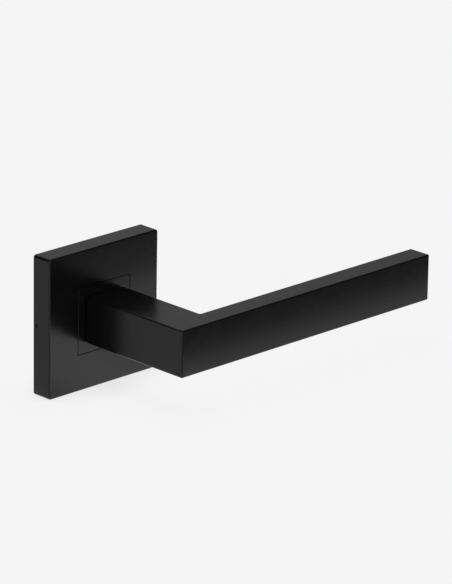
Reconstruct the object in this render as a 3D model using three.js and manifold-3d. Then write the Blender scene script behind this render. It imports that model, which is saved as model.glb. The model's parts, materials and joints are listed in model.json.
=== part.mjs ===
// Door lever handle on a square rose, built as the separate pieces that it is assembled from.
// Millimetres. The origin is on the spindle axis, in the plane of the door's face.
// +X runs along the lever, +Y into the door and +Z up, so everything that shows is at negative Y.

import * as THREE from 'three';
import { mergeVertices } from 'three/addons/utils/BufferGeometryUtils.js';
import Module from 'manifold-3d';

const wasm = await Module();
wasm.setup();

const degrees = THREE.MathUtils.degToRad;

// Driving dimensions
const ROSE_SIDE = 52;
const ROSE_DEPTH = 8.4;
const COVER_FACE = 1.6;
const COVER_WALL = 1.7;
const COLLAR_SIDE = 24.6;
const NECK_SIDE = 17.4;
const LEVER_LENGTH = 124.2;
const LEVER_PROJECTION = 57.4;
const GRIP_THICKNESS = 9.3;
const ROUNDED = 0.55; // the soft edges of the cover and the lever
const BOSS_RADIUS = 7.5;
const SPINDLE_SIDE = 8;
const SPINDLE_REACH = 24;
const FIXING_CENTRES = 38;
const TURN = degrees(45);

// Clearances
const TIGHT = 0.15;
const SLIP = 0.2;
const LOOSE = 0.3;
const PAST = 1; // how far a cutter runs past the face that it opens

// Planes along Y, from the room towards the door
const DOOR_FACE = 0;
const COVER_FRONT = DOOR_FACE - ROSE_DEPTH;
const NECK_SHOULDER = COVER_FRONT - LOOSE;
const COVER_INSIDE = COVER_FRONT + COVER_FACE;
const BASE_FRONT = COVER_INSIDE + SLIP;
const CAVITY_FRONT = BASE_FRONT + 1.2;
const COLLAR_BACK = CAVITY_FRONT - TIGHT;
const BUSH_BACK = CAVITY_FRONT + 0.5;
const BOSS_FLATS = BUSH_BACK + 0.1;
const DRIVER_FRONT = BUSH_BACK + SLIP;
const DRIVER_BACK = DOOR_FACE - 1.1;
const PLATE_FRONT = DOOR_FACE - 0.8;
const BOSS_END = DOOR_FACE + 3.5;

// Radii and half widths that neighbouring pieces share
const COVER_WINDOW = COLLAR_SIDE + 2 * SLIP;
const COVER_INNER = ROSE_SIDE / 2 - COVER_WALL;
const BASE_HALF = COVER_INNER - SLIP;
const CAVITY_RADIUS = 13.2;
const COLLAR_SHANK = 21;
const BUSH_RADIUS = 9;
const BUSH_FLANGE = 10;
const PLAIN_CORNER = 1; // the rounding of a square piece's upright corners
const DRIVER_RADIUS = 10.2;
const BOSS_FLAT = 6.1;
const SPINDLE_HOLE = SPINDLE_SIDE / 2 + TIGHT;
const SPINDLE_SEAT = -27;
const PLATE_SIDE = 29.6;
const PLATE_HOLE = BOSS_RADIUS + 0.4;

// The driver's stop lug, and the play at each end of the window that it turns in.
// All angles about the spindle axis run from +Z towards +X, which is the way the lever turns.
const LUG = { inner: 8.2, outer: 10, from: degrees(170), to: degrees(190), play: degrees(2) };

// The return spring: a round wire coil with one end bent out and the other bent in.
const SPRING = {
  wireRadius: 0.65,
  coilRadius: 11.6,
  front: CAVITY_FRONT + 0.8,
  back: PLATE_FRONT - 0.8,
  start: degrees(157.5),
  end: degrees(720),
  outerReach: 14.6,
  outerBend: degrees(17),
  innerReach: 9.3,
  innerBend: degrees(20),
};

// A clip's legs stand at two heights above the spindle axis, and its bump is the highest point.
const CLIP = {
  across: 12.5,
  width: 6,
  thickness: 0.35,
  footAt: -5.05,
  footEnd: 21.9,
  innerLeg: 22.95,
  bend: 23.35,
  outerLeg: 23.75,
  bendAt: -0.7,
  bump: 24.5,
  bumpAt: DOOR_FACE - 2.5,
};
const GRUB = { radius: 2.5, y: -14.5, length: 4 };
const GROOVE = { front: 1.6, back: 2.8, radius: 7.05 };
const WOOD_SCREW = {
  head: 3.4,
  shank: 1.75,
  length: 19.1,
  point: 5,
  face: BASE_FRONT + 0.1,
  recess: { reach: 1.9, width: 0.8, depth: 1.5 },
};
const PLATE_SCREW = {
  head: 2.3,
  shank: 1.2,
  length: 4.1,
  point: 0.5,
  face: DOOR_FACE - 0.05,
  across: 11.6,
  recess: { reach: 1.2, width: 0.5, depth: 0.9 },
};
const BOLT = { shank: 2.2, head: 4.2, headDepth: 3 };

// Sides of a round part and of a small round part
const ROUND = 48;
const SMALL = 20;

// Shapes

function polygon(corners, radius = 0) {
  const points = corners.map(([x, y]) => new THREE.Vector2(x, y));
  const shape = new THREE.Shape();
  points.forEach((corner, i) => {
    const toward = (other) => corner.clone().add(other.clone().sub(corner).setLength(radius));
    const entry = toward(points.at(i - 1));
    const leave = toward(points[(i + 1) % points.length]);
    if (i === 0) shape.moveTo(entry.x, entry.y);
    else shape.lineTo(entry.x, entry.y);
    if (radius > 0) shape.quadraticCurveTo(corner.x, corner.y, leave.x, leave.y);
  });
  return shape;
}

function square(side, radius = 0) {
  const half = side / 2;
  return polygon([[-half, -half], [half, -half], [half, half], [-half, half]], radius);
}

function sector(inner, outer, from, to) {
  const [first, last] = [Math.PI / 2 - from, Math.PI / 2 - to];
  const shape = new THREE.Shape();
  shape.absarc(0, 0, outer, first, last, true);
  shape.absarc(0, 0, inner, last, first, false);
  return shape;
}

// The outline of a thin strip of even thickness, bent along a line of points.
function strip(points, thickness) {
  const line = points.map(([x, y]) => new THREE.Vector2(x, y));
  const normals = line.slice(1).map((point, i) => {
    const along = point.clone().sub(line[i]).normalize();
    return new THREE.Vector2(-along.y, along.x);
  });
  const edge = (offset) => line.map((point, i) => {
    const before = normals[Math.max(i - 1, 0)];
    const after = normals[Math.min(i, normals.length - 1)];
    const mitre = before.clone().add(after).normalize();
    return point.clone().addScaledVector(mitre, offset / mitre.dot(after)).toArray();
  });
  return polygon([...edge(thickness / 2), ...edge(-thickness / 2).reverse()]);
}

// Simple solids

// A shape drawn in X and Z, extruded along Y, with both faces' edges taken off by `edge`.
function slab(shape, front, back, curveSegments = 3, edge = 0) {
  const geometry = new THREE.ExtrudeGeometry(shape, {
    depth: back - front - 2 * edge,
    curveSegments,
    bevelEnabled: edge > 0,
    bevelThickness: edge,
    bevelSize: edge,
    bevelOffset: -edge,
    bevelSegments: 2,
  });
  return geometry.rotateX(Math.PI / 2).translate(0, back - edge, 0);
}

// A shape drawn in Y and Z, extruded along X.
function bar(shape, left, right, curveSegments = 6) {
  const options = { depth: right - left, curveSegments, bevelEnabled: false };
  const geometry = new THREE.ExtrudeGeometry(shape, options).translate(0, 0, left);
  const [x, y, z] = [0, 1, 2].map((axis) => new THREE.Vector3().setComponent(axis, 1));
  return geometry.applyMatrix4(new THREE.Matrix4().makeBasis(y, z, x));
}

function box([x0, x1], [y0, y1], [z0, z1]) {
  const geometry = new THREE.BoxGeometry(x1 - x0, y1 - y0, z1 - z0);
  return geometry.translate((x0 + x1) / 2, (y0 + y1) / 2, (z0 + z1) / 2);
}

function rod(radius, front, back, sides = ROUND) {
  const geometry = new THREE.CylinderGeometry(radius, radius, back - front, sides);
  return geometry.translate(0, (front + back) / 2, 0);
}

// A closed outline of [radius, y] points, turned about the Y axis.
function turned(outline, sides = ROUND) {
  const points = [...outline, outline[0]].map(([radius, y]) => new THREE.Vector2(radius, y));
  return new THREE.LatheGeometry(points, sides);
}

// A screw with a 90 degree countersunk head. Its face is at Y = 0 and its point at Y = length.
function countersunk({ head, shank, length, point }) {
  const neck = head - shank;
  const outline = [[0, 0], [head, 0], [shank, neck], [shank, length - point], [0, length]];
  return turned(outline, SMALL);
}

// The clearance hole for that screw, opened past its head face.
function screwHole({ head, shank, length }) {
  const mouth = head + LOOSE + PAST;
  const hole = { head: mouth, shank: shank + LOOSE, length: length + LOOSE + PAST, point: 0.1 };
  return countersunk(hole).translate(0, -PAST, 0);
}

// Joining and cutting

function toManifold(geometry) {
  const bare = geometry.clone();
  bare.deleteAttribute('normal');
  bare.deleteAttribute('uv');
  const merged = mergeVertices(bare);
  const vertProperties = Float32Array.from(merged.attributes.position.array);
  const triangles = [];
  for (let i = 0; i < merged.index.count; i += 3) {
    const [a, b, c] = [0, 1, 2].map((k) => merged.index.getX(i + k));
    if (a !== b && b !== c && c !== a) triangles.push([a, b, c]);
  }
  const build = (faces) => new wasm.Manifold(
    new wasm.Mesh({ numProp: 3, vertProperties, triVerts: Uint32Array.from(faces.flat()) }),
  );
  const solid = build(triangles);
  return solid.volume() > 0 ? solid : build(triangles.map(([a, b, c]) => [a, c, b]));
}

function fromManifold(solid) {
  const { vertProperties, triVerts } = solid.getMesh();
  const geometry = new THREE.BufferGeometry();
  geometry.setAttribute('position', new THREE.BufferAttribute(vertProperties, 3));
  geometry.setIndex(new THREE.BufferAttribute(triVerts, 1));
  return geometry;
}

function combine(operation, first, others) {
  const start = toManifold(first);
  return fromManifold(others.reduce((solid, next) => solid[operation](toManifold(next)), start));
}

const join = (first, ...others) => combine('add', first, others);
const cut = (first, ...others) => combine('subtract', first, others);
const common = (first, ...others) => combine('intersect', first, others);

// A countersunk screw with a cross recess in its face.
function screw(size) {
  const { reach, width, depth } = size.recess;
  const blade = box([-reach, reach], [-PAST, depth], [-width / 2, width / 2]);
  return cut(countersunk(size), blade, blade.clone().rotateY(Math.PI / 2));
}

function fixings() {
  return [FIXING_CENTRES / 2, -FIXING_CENTRES / 2];
}

function plateScrewPlaces() {
  const { across } = PLATE_SCREW;
  return [[-across, across], [across, across], [across, -across], [-across, -across]];
}

function plateScrewHoles() {
  return plateScrewPlaces().map(([x, z]) => (
    screwHole(PLATE_SCREW).rotateX(Math.PI).translate(x, PLATE_SCREW.face, z)
  ));
}

// The cover is a square pan. Its face has a window for the collar, its left wall has a slot for
// the tool that lifts it off, and grooves inside its upper and lower walls take the clips.
function roseCover() {
  const block = slab(square(ROSE_SIDE, PLAIN_CORNER), COVER_FRONT, DOOR_FACE + PAST, 3, ROUNDED);
  const behind = slab(square(2 * ROSE_SIDE), DOOR_FACE, DOOR_FACE + 2 * PAST);
  const inside = slab(square(2 * COVER_INNER, PLAIN_CORNER / 2), COVER_INSIDE, DOOR_FACE + PAST);
  const window = slab(square(COVER_WINDOW), COVER_FRONT - PAST, COVER_INSIDE + PAST);
  const groove = { length: 36, width: 1.6, depth: 0.5 };
  const reach = COVER_INNER + groove.depth;
  const grooves = box(
    [-groove.length / 2, groove.length / 2],
    [CLIP.bumpAt - groove.width / 2, CLIP.bumpAt + groove.width / 2],
    [-reach, reach],
  );
  return cut(block, behind, inside, window, grooves, releaseSlot());
}

function releaseSlot() {
  const y = -1.6;
  const radius = 0.3;
  const half = 0.45;
  const shape = new THREE.Shape();
  shape.absarc(y, half, radius, 0, Math.PI, false);
  shape.absarc(y, -half, radius, Math.PI, 2 * Math.PI, false);
  return bar(shape, -ROSE_SIDE / 2 - PAST, -COVER_INNER + PAST);
}

// The collar fills the cover's window. Its shank sits in the base's square hole, so it can't
// turn, and its bore holds the bush behind a thin lip.
function neckCollar() {
  const lip = 1;
  const corner = 0.4;
  const bore = BUSH_RADIUS + 0.1;
  const flange = slab(square(COLLAR_SIDE, corner), COVER_FRONT, BASE_FRONT - TIGHT, 3);
  const shank = slab(square(COLLAR_SHANK), BASE_FRONT - PAST, COLLAR_BACK);
  const mouth = rod(PLATE_HOLE, COVER_FRONT - PAST, COLLAR_BACK + PAST);
  const counterbore = rod(bore, COVER_FRONT + lip, COLLAR_BACK + PAST);
  return cut(join(flange, shank), mouth, counterbore);
}

// A flanged bush that the lever's boss turns in.
function neckBush() {
  const front = COVER_FRONT + 1.1; // just behind the collar's lip
  const bore = BOSS_RADIUS + SLIP;
  return turned([
    [bore, front],
    [BUSH_RADIUS, front],
    [BUSH_RADIUS, CAVITY_FRONT],
    [BUSH_FLANGE, CAVITY_FRONT],
    [BUSH_FLANGE, BUSH_BACK],
    [bore, BUSH_BACK],
  ]);
}

// The cast base that is screwed to the door. It holds the spring, the collar and the clips.
function roseBase() {
  const open = DOOR_FACE + PAST;
  const block = slab(square(2 * BASE_HALF, PLAIN_CORNER), BASE_FRONT, DOOR_FACE, 3);
  const collarHole = slab(square(COLLAR_SHANK + 2 * TIGHT), BASE_FRONT - PAST, CAVITY_FRONT);
  const cavity = rod(CAVITY_RADIUS, CAVITY_FRONT, open);
  const bushHole = rod(BUSH_FLANGE + LOOSE, BASE_FRONT, open);
  const plateRecess = slab(square(PLATE_SIDE + 2 * SLIP), PLATE_FRONT - 0.1, open);
  const notch = { depth: 0.8, front: -2.6, back: -0.6, half: 1.6 }; // for the release tool
  const toolNotch = box(
    [-BASE_HALF - PAST, -BASE_HALF + notch.depth],
    [notch.front, notch.back],
    [-notch.half, notch.half],
  );
  const woodHoles = fixings().map((z) => (
    join(screwHole(WOOD_SCREW), rod(WOOD_SCREW.shank + LOOSE, 0, WOOD_SCREW.length, SMALL))
      .translate(0, WOOD_SCREW.face, z)
  ));
  return cut(
    block,
    collarHole,
    cavity,
    bushHole,
    plateRecess,
    toolNotch,
    springSlot(),
    ...woodHoles,
    ...fixings().flatMap(boltHole),
    ...cornerPockets(),
    ...plateScrewHoles(),
    ...clipPockets(),
  );
}

// A through hole with a counterbore, beside the spring, for bolting through the door.
function boltHole(x) {
  const shank = rod(BOLT.shank, BASE_FRONT - PAST, DOOR_FACE + PAST, SMALL);
  const head = rod(BOLT.head, BASE_FRONT - PAST, BASE_FRONT + BOLT.headDepth, ROUND / 2);
  return [shank.translate(x, 0, 0), head.translate(x, 0, 0)];
}

// Hollows in the back of the casting's four corners.
function cornerPockets() {
  const wall = 1.6;
  const floor = 1.8;
  const [inner, outer] = [17, BASE_HALF - wall];
  const depth = [BASE_FRONT + floor, DOOR_FACE + PAST];
  return [0, 1, 2, 3].map((turn) => (
    box([inner, outer], depth, [inner, outer]).rotateY((turn * Math.PI) / 2)
  ));
}

// The slot in the cavity's wall that holds the spring's outer end.
function springSlot() {
  const reach = SPRING.outerReach + SPRING.wireRadius + LOOSE;
  const sides = [-1.2, 3.6]; // before and after the wire's end, round the axis
  const depth = [CAVITY_FRONT, DOOR_FACE + PAST];
  return box(sides, depth, [CAVITY_RADIUS - PAST, reach]).rotateY(SPRING.start);
}

// A bent leaf spring. Its foot and leg lie in the base, and its bump reaches into the cover.
function coverClip() {
  const bend = CLIP.outerLeg - CLIP.bend;
  const line = [
    [CLIP.footAt, CLIP.footEnd],
    [CLIP.footAt, CLIP.innerLeg],
    [CLIP.bendAt - bend, CLIP.innerLeg],
    [CLIP.bendAt, CLIP.bend],
    [CLIP.bendAt - bend, CLIP.outerLeg],
    [CLIP.bumpAt + 0.9, CLIP.outerLeg],
    [CLIP.bumpAt + 0.15, CLIP.bump],
    [CLIP.bumpAt - 0.15, CLIP.bump],
    [CLIP.bumpAt - 1, CLIP.outerLeg - 0.1],
    [CLIP.bumpAt - 1.7, CLIP.outerLeg - 0.3],
  ];
  return bar(strip(line, CLIP.thickness), -CLIP.width / 2, CLIP.width / 2);
}

function clipPlaces() {
  return [0, Math.PI].flatMap((turn) => [-CLIP.across, CLIP.across].map((x) => ({ turn, x })));
}

function clipPockets() {
  const half = CLIP.width / 2 + LOOSE;
  const floor = CLIP.footAt - 0.4;
  const [inner, outer] = [CLIP.innerLeg - 0.4, BASE_HALF + PAST];
  const pocket = box([-half, half], [floor, DOOR_FACE + PAST], [inner, outer]);
  const foot = box([-half, half], [floor, CLIP.footAt + 0.45], [CLIP.footEnd - LOOSE, inner + 0.4]);
  const shape = join(pocket, foot);
  return clipPlaces().map(({ turn, x }) => shape.clone().rotateY(turn).translate(x, 0, 0));
}

// The plate that closes the spring's cavity. The window beside its hole stops the driver's lug.
function backPlate() {
  const plate = slab(square(PLATE_SIDE, PLAIN_CORNER), PLATE_FRONT, DOOR_FACE, 3);
  const hole = rod(PLATE_HOLE, PLATE_FRONT - PAST, DOOR_FACE + PAST);
  const [from, to] = [LUG.from - LUG.play, LUG.to + TURN + LUG.play];
  const window = sector(BOSS_RADIUS, LUG.outer + LOOSE, from, to);
  const stop = slab(window, PLATE_FRONT - PAST, DOOR_FACE + PAST, 8);
  return cut(plate, hole, stop, ...plateScrewHoles());
}

// The line that the middle of the spring's wire follows, from its outer end to its inner end.
class SpringLine extends THREE.Curve {
  getPoint(t, target = new THREE.Vector3()) {
    const angle = THREE.MathUtils.lerp(SPRING.start, SPRING.end, t);
    const y = THREE.MathUtils.lerp(SPRING.front, SPRING.back, t);
    const { smoothstep } = THREE.MathUtils;
    const out = 1 - smoothstep(angle - SPRING.start, 0, SPRING.outerBend);
    const inward = 1 - smoothstep(SPRING.end - angle, 0, SPRING.innerBend);
    const radius = SPRING.coilRadius
      + out * (SPRING.outerReach - SPRING.coilRadius)
      + inward * (SPRING.innerReach - SPRING.coilRadius);
    return target.set(radius * Math.sin(angle), y, radius * Math.cos(angle));
  }
}

function returnSpring() {
  const section = new THREE.Shape().absarc(0, 0, SPRING.wireRadius, 0, 2 * Math.PI);
  const extrudePath = new SpringLine();
  extrudePath.arcLengthDivisions = 800;
  return new THREE.ExtrudeGeometry(section, { steps: 96, curveSegments: 5, extrudePath });
}

// The lever is one casting: a square neck, a flat grip at right angles to it, and behind the
// neck's shoulder a round boss with two flats that drives the spring.
function lever() {
  const left = -NECK_SIDE / 2;
  const tip = left + LEVER_LENGTH;
  const gripBack = -LEVER_PROJECTION + GRIP_THICKNESS;
  const outline = polygon([
    [left, NECK_SHOULDER],
    [left, -LEVER_PROJECTION],
    [tip, -LEVER_PROJECTION],
    [tip, gripBack],
    [-left, gripBack],
    [-left, NECK_SHOULDER],
  ], ROUNDED + LOOSE);
  const handle = new THREE.ExtrudeGeometry(outline, {
    depth: NECK_SIDE - 2 * ROUNDED,
    curveSegments: 3,
    bevelThickness: ROUNDED,
    bevelSize: ROUNDED,
    bevelOffset: -ROUNDED,
    bevelSegments: 2,
  }).translate(0, 0, ROUNDED - NECK_SIDE / 2);
  const round = rod(BOSS_RADIUS, NECK_SHOULDER - PAST, BOSS_END);
  const wide = BOSS_RADIUS + PAST;
  const flats = [0, Math.PI].map((turn) => (
    box([-wide, wide], [BOSS_FLATS, BOSS_END + PAST], [BOSS_FLAT, wide]).rotateY(turn)
  ));
  const groove = turned([
    [GROOVE.radius, GROOVE.front],
    [wide, GROOVE.front],
    [wide, GROOVE.back],
    [GROOVE.radius, GROOVE.back],
  ]);
  const spindleHole = slab(square(2 * SPINDLE_HOLE), SPINDLE_SEAT, BOSS_END + PAST);
  const grubHole = rod(GRUB.radius + SLIP, -NECK_SIDE / 2 - PAST, -PAST, SMALL)
    .rotateX(Math.PI / 2)
    .translate(0, GRUB.y, 0);
  return cut(join(handle, round), ...flats, groove, spindleHole, grubHole);
}

// The driver turns with the boss. Its notch carries the spring's inner end, and the lug on
// its back face limits the turn.
function springDriver() {
  const hub = rod(DRIVER_RADIUS, DRIVER_FRONT, DRIVER_BACK);
  const lugOutline = sector(LUG.inner, LUG.outer, LUG.from, LUG.to);
  const lug = slab(lugOutline, DRIVER_BACK - 0.5, DOOR_FACE - 0.1, 4);
  const through = [DRIVER_FRONT - PAST, DOOR_FACE + PAST];
  const wide = [-DRIVER_RADIUS, DRIVER_RADIUS];
  const flat = BOSS_FLAT + TIGHT;
  const bore = common(rod(BOSS_RADIUS + TIGHT, ...through), box(wide, through, [-flat, flat]));
  const notchFloor = SPRING.innerReach - SPRING.wireRadius - SLIP;
  const notchFront = SPRING.back - SPRING.wireRadius - LOOSE;
  const notchSides = [-3.6, 1.3]; // before and after the wire's end, round the axis
  const notch = box(notchSides, [notchFront, DOOR_FACE], [notchFloor, DRIVER_RADIUS + PAST]);
  return cut(join(hub, lug), bore, notch);
}

// A square bar with its end edges taken off.
function halfSpindle() {
  const play = 0.5;
  const chamfer = 0.5;
  return slab(square(SPINDLE_SIDE), SPINDLE_SEAT + play, SPINDLE_REACH, 3, chamfer);
}

// The hexagon socket screw that holds the spindle in the neck, driven from below.
function grubScrew() {
  const { radius, length } = GRUB;
  const chamfer = 0.4;
  const cup = 1.2;
  const body = turned([
    [0, 0],
    [radius - chamfer, 0],
    [radius, chamfer],
    [radius, length - chamfer],
    [cup + 0.4, length],
    [cup, length],
    [0, length - chamfer],
  ], SMALL);
  const acrossFlats = 2.5;
  const socket = rod(acrossFlats / Math.sqrt(3), -PAST, length / 2, 6);
  return cut(body, socket);
}

function flatRing(inner, outer, front, back) {
  return turned([[inner, front], [outer, front], [outer, back], [inner, back]]);
}

// A flat nylon ring between the back plate and the wave washer.
function thrustWasher() {
  const outer = 11.4;
  const front = DOOR_FACE + 0.1;
  const thickness = 0.5;
  return flatRing(BOSS_RADIUS + TIGHT, outer, front, front + thickness);
}

// A flat ring pressed into three waves.
function waveWasher() {
  const waves = 3;
  const outer = 10.4;
  const height = 0.25;
  const middle = 1.15;
  const thickness = 0.3;
  const ring = flatRing(BOSS_RADIUS + TIGHT, outer, -thickness / 2, thickness / 2);
  const places = ring.attributes.position;
  for (let i = 0; i < places.count; i += 1) {
    const angle = Math.atan2(places.getX(i), places.getZ(i));
    places.setY(i, places.getY(i) + middle + height * Math.cos(waves * angle));
  }
  return ring;
}

// The open ring that snaps into the boss's groove, with an eye at each end for the pliers.
function circlip() {
  const inner = GROOVE.radius + TIGHT;
  const outer = 8.9;
  const [front, back] = [GROOVE.front + 0.1, GROOVE.back - 0.1];
  const opening = degrees(22);
  const outline = sector(inner, outer, opening - Math.PI, Math.PI - opening);
  const ring = slab(outline, front, back, ROUND / 2);
  const ear = { radius: 1.5, eye: 0.6, out: outer + 0.5, turn: Math.PI - opening - degrees(2.3) };
  const place = (solid, side) => solid.translate(0, 0, ear.out).rotateY(side * ear.turn);
  const ears = [1, -1].map((side) => place(rod(ear.radius, front, back, SMALL), side));
  const eyes = [1, -1].map((side) => place(rod(ear.eye, front - PAST, back + PAST, 12), side));
  return cut(join(ring, ...ears), ...eyes);
}

// Materials

function finish(color, roughness, metalness) {
  return () => new THREE.MeshStandardMaterial({ color, roughness, metalness });
}

const satinBlack = finish(0x19191a, 0.42, 0.15);
const castZinc = finish(0x8e9092, 0.5, 0.9);
const platedSteel = finish(0xb9bbbd, 0.3, 1);
const springSteel = finish(0x5d6064, 0.35, 1);
const nylon = finish(0xe6e2d8, 0.55, 0);

// Assembly

const handle = new THREE.Group();
const rose = new THREE.Group();
const turning = new THREE.Group();
handle.add(rose, turning);

function add(group, name, geometry, material) {
  const mesh = new THREE.Mesh(geometry, material());
  mesh.name = name;
  group.add(mesh);
  return mesh;
}

add(rose, 'rose_cover', roseCover(), satinBlack);
add(rose, 'neck_collar', neckCollar(), satinBlack);
add(rose, 'neck_bush', neckBush(), nylon);
add(rose, 'rose_base', roseBase(), castZinc);
add(rose, 'back_plate', backPlate(), platedSteel);
add(rose, 'return_spring', returnSpring(), springSteel);

const woodScrew = screw(WOOD_SCREW);
['wood_screw_upper', 'wood_screw_lower'].forEach((name, i) => {
  const mesh = add(rose, name, woodScrew, platedSteel);
  mesh.position.set(0, WOOD_SCREW.face, fixings()[i]);
});

const plateScrew = screw(PLATE_SCREW);
plateScrewPlaces().forEach(([x, z], i) => {
  const mesh = add(rose, `back_plate_screw_${i + 1}`, plateScrew, platedSteel);
  mesh.position.set(x, PLATE_SCREW.face, z);
  mesh.rotation.x = Math.PI;
});

const clip = coverClip();
clipPlaces().forEach(({ turn, x }, i) => {
  const mesh = add(rose, `cover_clip_${i + 1}`, clip, springSteel);
  mesh.position.x = x;
  mesh.rotation.y = turn;
});

add(turning, 'lever', lever(), satinBlack);
add(turning, 'spring_driver', springDriver(), castZinc);
add(turning, 'half_spindle', halfSpindle(), platedSteel);
add(turning, 'thrust_washer', thrustWasher(), nylon);
add(turning, 'wave_washer', waveWasher(), springSteel);
add(turning, 'circlip', circlip(), springSteel);

const grub = add(turning, 'spindle_grub_screw', grubScrew(), springSteel);
grub.position.set(0, GRUB.y, -SPINDLE_SIDE / 2 - SLIP - GRUB.length);
grub.rotation.x = Math.PI / 2;

export default handle;
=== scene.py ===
import json
import math

import bmesh
import bpy
from mathutils import Matrix, Vector


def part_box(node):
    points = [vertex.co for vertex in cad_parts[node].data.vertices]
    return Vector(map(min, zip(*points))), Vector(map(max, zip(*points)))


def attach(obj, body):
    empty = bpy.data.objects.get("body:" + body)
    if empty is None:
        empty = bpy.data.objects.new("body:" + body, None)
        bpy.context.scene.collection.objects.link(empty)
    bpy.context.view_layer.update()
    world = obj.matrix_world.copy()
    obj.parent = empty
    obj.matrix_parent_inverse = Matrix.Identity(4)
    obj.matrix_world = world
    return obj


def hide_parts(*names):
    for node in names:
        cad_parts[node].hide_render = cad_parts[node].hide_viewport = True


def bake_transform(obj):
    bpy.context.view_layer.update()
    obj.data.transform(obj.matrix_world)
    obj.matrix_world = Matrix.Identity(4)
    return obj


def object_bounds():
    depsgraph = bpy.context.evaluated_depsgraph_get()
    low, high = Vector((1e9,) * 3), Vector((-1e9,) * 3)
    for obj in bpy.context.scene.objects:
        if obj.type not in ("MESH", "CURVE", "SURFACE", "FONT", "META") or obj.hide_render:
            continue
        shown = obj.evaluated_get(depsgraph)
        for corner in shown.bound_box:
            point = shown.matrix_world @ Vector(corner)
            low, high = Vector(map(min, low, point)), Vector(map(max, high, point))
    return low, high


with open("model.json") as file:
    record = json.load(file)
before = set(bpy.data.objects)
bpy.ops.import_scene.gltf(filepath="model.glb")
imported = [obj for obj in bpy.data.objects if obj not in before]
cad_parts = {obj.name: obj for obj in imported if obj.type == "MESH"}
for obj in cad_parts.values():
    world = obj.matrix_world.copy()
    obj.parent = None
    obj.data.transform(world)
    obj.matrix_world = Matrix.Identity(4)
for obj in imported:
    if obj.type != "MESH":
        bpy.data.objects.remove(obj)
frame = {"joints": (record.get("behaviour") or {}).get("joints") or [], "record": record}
cad_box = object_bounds()

# The handle is modelled in millimetres, in the frame's own axes, and each finished piece is then
# scaled to metres. The origin is on the spindle axis at the door's face, +X runs along the lever,
# +Y into the door and +Z up.
MM = 0.001

BODIES = frame["record"]["behaviour"]["bodies"]
BODY_OF = {node: body for body, nodes in BODIES.items() for node in nodes}
SLOT_OF = {part["node"]: part["material_slot"] for part in frame["record"]["subparts"]}


def corners(node):
    """The lowest and highest corner of a CAD node at rest, in millimetres."""
    return [Vector([round(value / MM, 3) for value in corner]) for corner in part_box(node)]


def middle(node):
    """The middle of a CAD node's box at rest, in millimetres."""
    low, high = corners(node)
    return (low + high) / 2


# Sizes that the frame gives
COVER_LOW, COVER_HIGH = corners("rose_cover")
ROSE_HALF = COVER_HIGH.x
ROSE_FRONT = COVER_LOW.y
DOOR_FACE = COVER_HIGH.y
COLLAR_HALF = corners("neck_collar")[1].x
COLLAR_BACK = corners("neck_collar")[1].y
BUSH_LOW, BUSH_HIGH = corners("neck_bush")
BASE_FRONT = corners("rose_base")[0].y
BASE_HALF = corners("rose_base")[1].x
PLATE_FRONT = corners("back_plate")[0].y
PLATE_HALF = corners("back_plate")[1].x
LEVER_LOW, LEVER_HIGH = corners("lever")
NECK_HALF = -LEVER_LOW.x
DRIVER_FRONT = corners("spring_driver")[0].y
DRIVER_RADIUS = corners("spring_driver")[1].x
SPINDLE_LOW, SPINDLE_HIGH = corners("half_spindle")

# Gaps between pieces: where one is held close, where it slides or shows a seam, and elsewhere
CLOSE = 0.15
SLIP = 0.2
GAP = 0.3

# Sizes that the pieces share inside
ROUNDED = 0.55
COVER_FACE = 1.6
COVER_WALL = 1.7
COVER_INSIDE = ROSE_FRONT + COVER_FACE
COVER_INNER = ROSE_HALF - COVER_WALL
WINDOW_HALF = COLLAR_HALF + SLIP
COLLAR_SHANK = 10.5
BUSH_RADIUS = 9
CAVITY_RADIUS = 13.2
CAVITY_FRONT = BASE_FRONT + 1.2
BOSS_RADIUS = 7.5
BOSS_FLAT = 6.1
PLATE_HOLE = BOSS_RADIUS + 0.4
GRIP_THICKNESS = 9.3
NECK_SHOULDER = ROSE_FRONT - GAP
DRIVER_BACK = DOOR_FACE - 1.1

# How far a cutter runs past what it cuts
PAST = 1

# Sides of a round part, and steps in a rounded corner and in a rounded rim
ROUND = 96
SMALL = 40
CORNER_STEPS = 5
RIM_STEPS = 4


# Flat outlines, as lists of (u, v) points

def spread(first, last, steps):
    """Evenly spaced numbers from first to last, both included."""
    return [first + (last - first) * i / steps for i in range(steps + 1)]


def arc(centre, radius, first, last, steps):
    """Points round an arc from one angle to another, in degrees."""
    angles = [math.radians(angle) for angle in spread(first, last, steps)]
    return [(centre[0] + radius * math.cos(a), centre[1] + radius * math.sin(a)) for a in angles]


def rounded_square(half, corner, steps=CORNER_STEPS):
    """A square of half its side, with rounded corners."""
    inner = half - corner
    turns = [(1, 1, 0), (-1, 1, 90), (-1, -1, 180), (1, -1, 270)]
    return [
        point
        for u, v, first in turns
        for point in arc((u * inner, v * inner), corner, first, first + 90, steps)
    ]


def rounded_corner(before, corner, after, radius, steps=CORNER_STEPS):
    """The arc that rounds one corner of a line."""
    corner = Vector(corner)
    back = (Vector(before) - corner).normalized()
    on = (Vector(after) - corner).normalized()
    half = back.angle(on) / 2
    centre = corner + (back + on).normalized() * radius / math.sin(half)
    first, last = [
        math.degrees(math.atan2(*reversed(corner + way * radius / math.tan(half) - centre)))
        for way in (back, on)
    ]
    sweep = (last - first + 180) % 360 - 180
    return arc(centre, radius, first, first + sweep, steps)


def rounded_outline(points, radii, steps=CORNER_STEPS):
    """A closed outline with each of its corners rounded."""
    count = len(points)
    rounded = []
    for i, (point, radius) in enumerate(zip(points, radii)):
        rounded += rounded_corner(points[i - 1], point, points[(i + 1) % count], radius, steps)
    return rounded


def circle(radius, sides=ROUND):
    """A circle whose points stand evenly, half a step off the axes."""
    return arc((0, 0), radius, 180 / sides, 360 + 180 / sides, sides)[:-1]


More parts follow.
